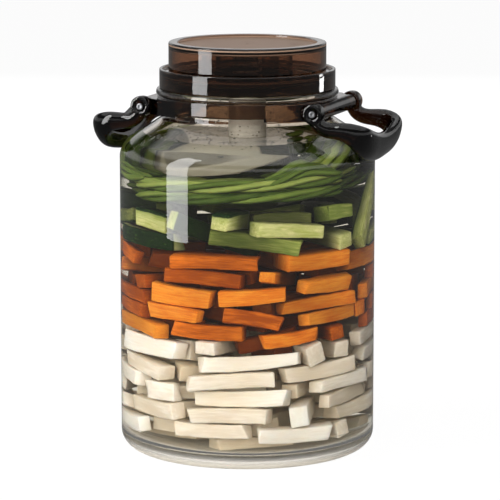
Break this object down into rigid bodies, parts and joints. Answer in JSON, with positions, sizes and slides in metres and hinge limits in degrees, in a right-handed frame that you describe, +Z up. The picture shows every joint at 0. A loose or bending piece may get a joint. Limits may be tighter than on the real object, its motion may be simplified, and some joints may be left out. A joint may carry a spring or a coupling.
{
  "type": "glass fermentation jar with airlock lid",
  "caption": "Wide glass fermentation jar with a water-sealed screw lid, a sprung press plate and two swing handles, filled with layered vegetable sticks.",
  "frame": {"origin": "centre of the foot, on the surface the jar stands on", "axes": "+Z up along the jar's axis; the handles are on +X (right) and -X (left), their hinge axes along Y; -Y is the front"},
  "size_m": [0.1974, 0.17, 0.2723],
  "materials": {
    "jar_glass": "clear polished",
    "smoky_plastic": "clear smoky brown, polished",
    "handle_plastic": "near-black brown, polished",
    "press_plastic": "clear, slightly milky",
    "spring_steel": "drawn wire",
    "pin_steel": "turned",
    "seal_rubber": "milky silicone, satin",
    "radish": "wet cut root",
    "carrot": "wet cut root",
    "zucchini": "wet cut flesh and skin",
    "bean": "wet pod skin"
  },
  "bodies": {
    "jar": {"glass_jar": "jar_glass", "neck_band": "smoky_plastic", "hinge_pin_right_front": "pin_steel", "hinge_pin_right_rear": "pin_steel", "hinge_pin_left_front": "pin_steel", "hinge_pin_left_rear": "pin_steel", "radish_sticks": "radish", "carrot_sticks": "carrot", "zucchini_sticks": "zucchini", "long_beans": "bean"},
    "handle_right": {"handle_right": "handle_plastic"},
    "handle_left": {"handle_left": "handle_plastic"},
    "seal": {"lid_seal": "seal_rubber"},
    "guide": {"press_guide": "press_plastic"},
    "lid": {"screw_lid": "smoky_plastic"},
    "cap": {"airlock_cap": "smoky_plastic"},
    "press": {"press_sleeve": "press_plastic", "press_plate": "press_plastic", "press_spring": "spring_steel"}
  },
  "joints": [
    {"name": "handle_right_swing", "type": "hinge", "parent": "jar", "child": "handle_right", "pos_m": [0.06015, 0, 0.23103], "axis": [0, -1, 0], "range_deg": [0, 110]},
    {"name": "handle_left_swing", "type": "hinge", "parent": "jar", "child": "handle_left", "pos_m": [-0.06015, 0, 0.23103], "axis": [0, 1, 0], "range_deg": [0, 110]},
    {"name": "lid_lift", "type": "slide", "parent": "jar", "child": "seal", "axis": [0, 0, 1], "range_m": [0, 0.12]},
    {"name": "lid_rise", "type": "slide", "parent": "seal", "child": "guide", "axis": [0, 0, 1], "range_m": [0, 0.0046]},
    {"name": "lid_turn", "type": "hinge", "parent": "guide", "child": "lid", "pos_m": [0, 0, 0.2455], "axis": [0, 0, 1], "range_deg": [0, 270]},
    {"name": "cap_lift", "type": "slide", "parent": "lid", "child": "cap", "axis": [0, 0, 1], "range_m": [0, 0.05]},
    {"name": "press_travel", "type": "slide", "parent": "guide", "child": "press", "axis": [0, 0, 1], "range_m": [0, 0.0175], "stiffness_N_per_m": 200, "springref_m": -0.02, "deforming": ["press_spring"]}
  ],
  "couplings": [
    {"joint": "lid_rise", "follows": "lid_turn", "m_per_rad": 0.00095493}
  ]
}
